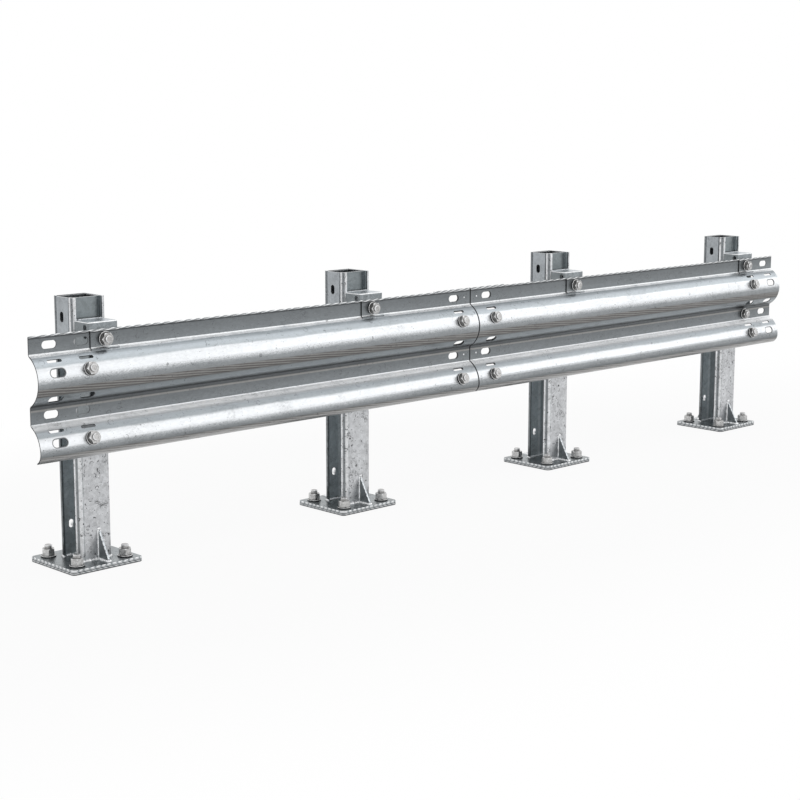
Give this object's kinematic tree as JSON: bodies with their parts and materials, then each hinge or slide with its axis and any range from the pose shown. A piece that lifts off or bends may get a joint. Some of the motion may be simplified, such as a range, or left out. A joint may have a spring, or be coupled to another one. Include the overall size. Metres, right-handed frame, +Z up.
{
  "type": "highway guardrail",
  "caption": "Galvanised steel road barrier: a slotted double-lobe rolled rail, spliced in the middle, on bolted-down lipped channel posts with box spacers.",
  "frame": {"origin": "the middle of the first (left) post's base plate, on the ground", "axes": "+X along the rail to the right as seen from the road, -Y towards the road, +Z up"},
  "size_m": [3.123, 0.2656, 0.694],
  "materials": {
    "rolled_zinc": "hot-dip galvanised, weathered, satin with drawn streaks",
    "post_zinc": "hot-dip galvanised, matt with fine spangle and specks",
    "plate_zinc": "hot-dip galvanised, matt with bright bevels and weld beads",
    "bolt_zinc": "galvanised bolts, slightly warm grey, worn edges"
  },
  "bodies": {
    "root": {"anchors_1": "bolt_zinc", "anchors_2": "bolt_zinc", "anchors_3": "bolt_zinc", "anchors_4": "bolt_zinc", "base_plate_1": "plate_zinc", "base_plate_2": "plate_zinc", "base_plate_3": "plate_zinc", "base_plate_4": "plate_zinc", "gussets_1": "plate_zinc", "gussets_2": "plate_zinc", "gussets_3": "plate_zinc", "gussets_4": "plate_zinc", "head_insert_1": "post_zinc", "head_insert_2": "post_zinc", "head_insert_3": "post_zinc", "head_insert_4": "post_zinc", "left_end_bolts": "bolt_zinc", "post_1": "post_zinc", "post_2": "post_zinc", "post_3": "post_zinc", "post_4": "post_zinc", "post_bolt_1": "bolt_zinc", "post_bolt_2": "bolt_zinc", "post_bolt_3": "bolt_zinc", "post_bolt_4": "bolt_zinc", "rail_left": "rolled_zinc", "rail_right": "rolled_zinc", "right_end_bolts": "bolt_zinc", "saddle_1": "rolled_zinc", "saddle_2": "rolled_zinc", "saddle_3": "rolled_zinc", "saddle_4": "rolled_zinc", "spacer_1": "post_zinc", "spacer_2": "post_zinc", "spacer_3": "post_zinc", "spacer_4": "post_zinc", "splice_bolts": "bolt_zinc", "splice_sleeve": "rolled_zinc"}
  },
  "joints": []
}
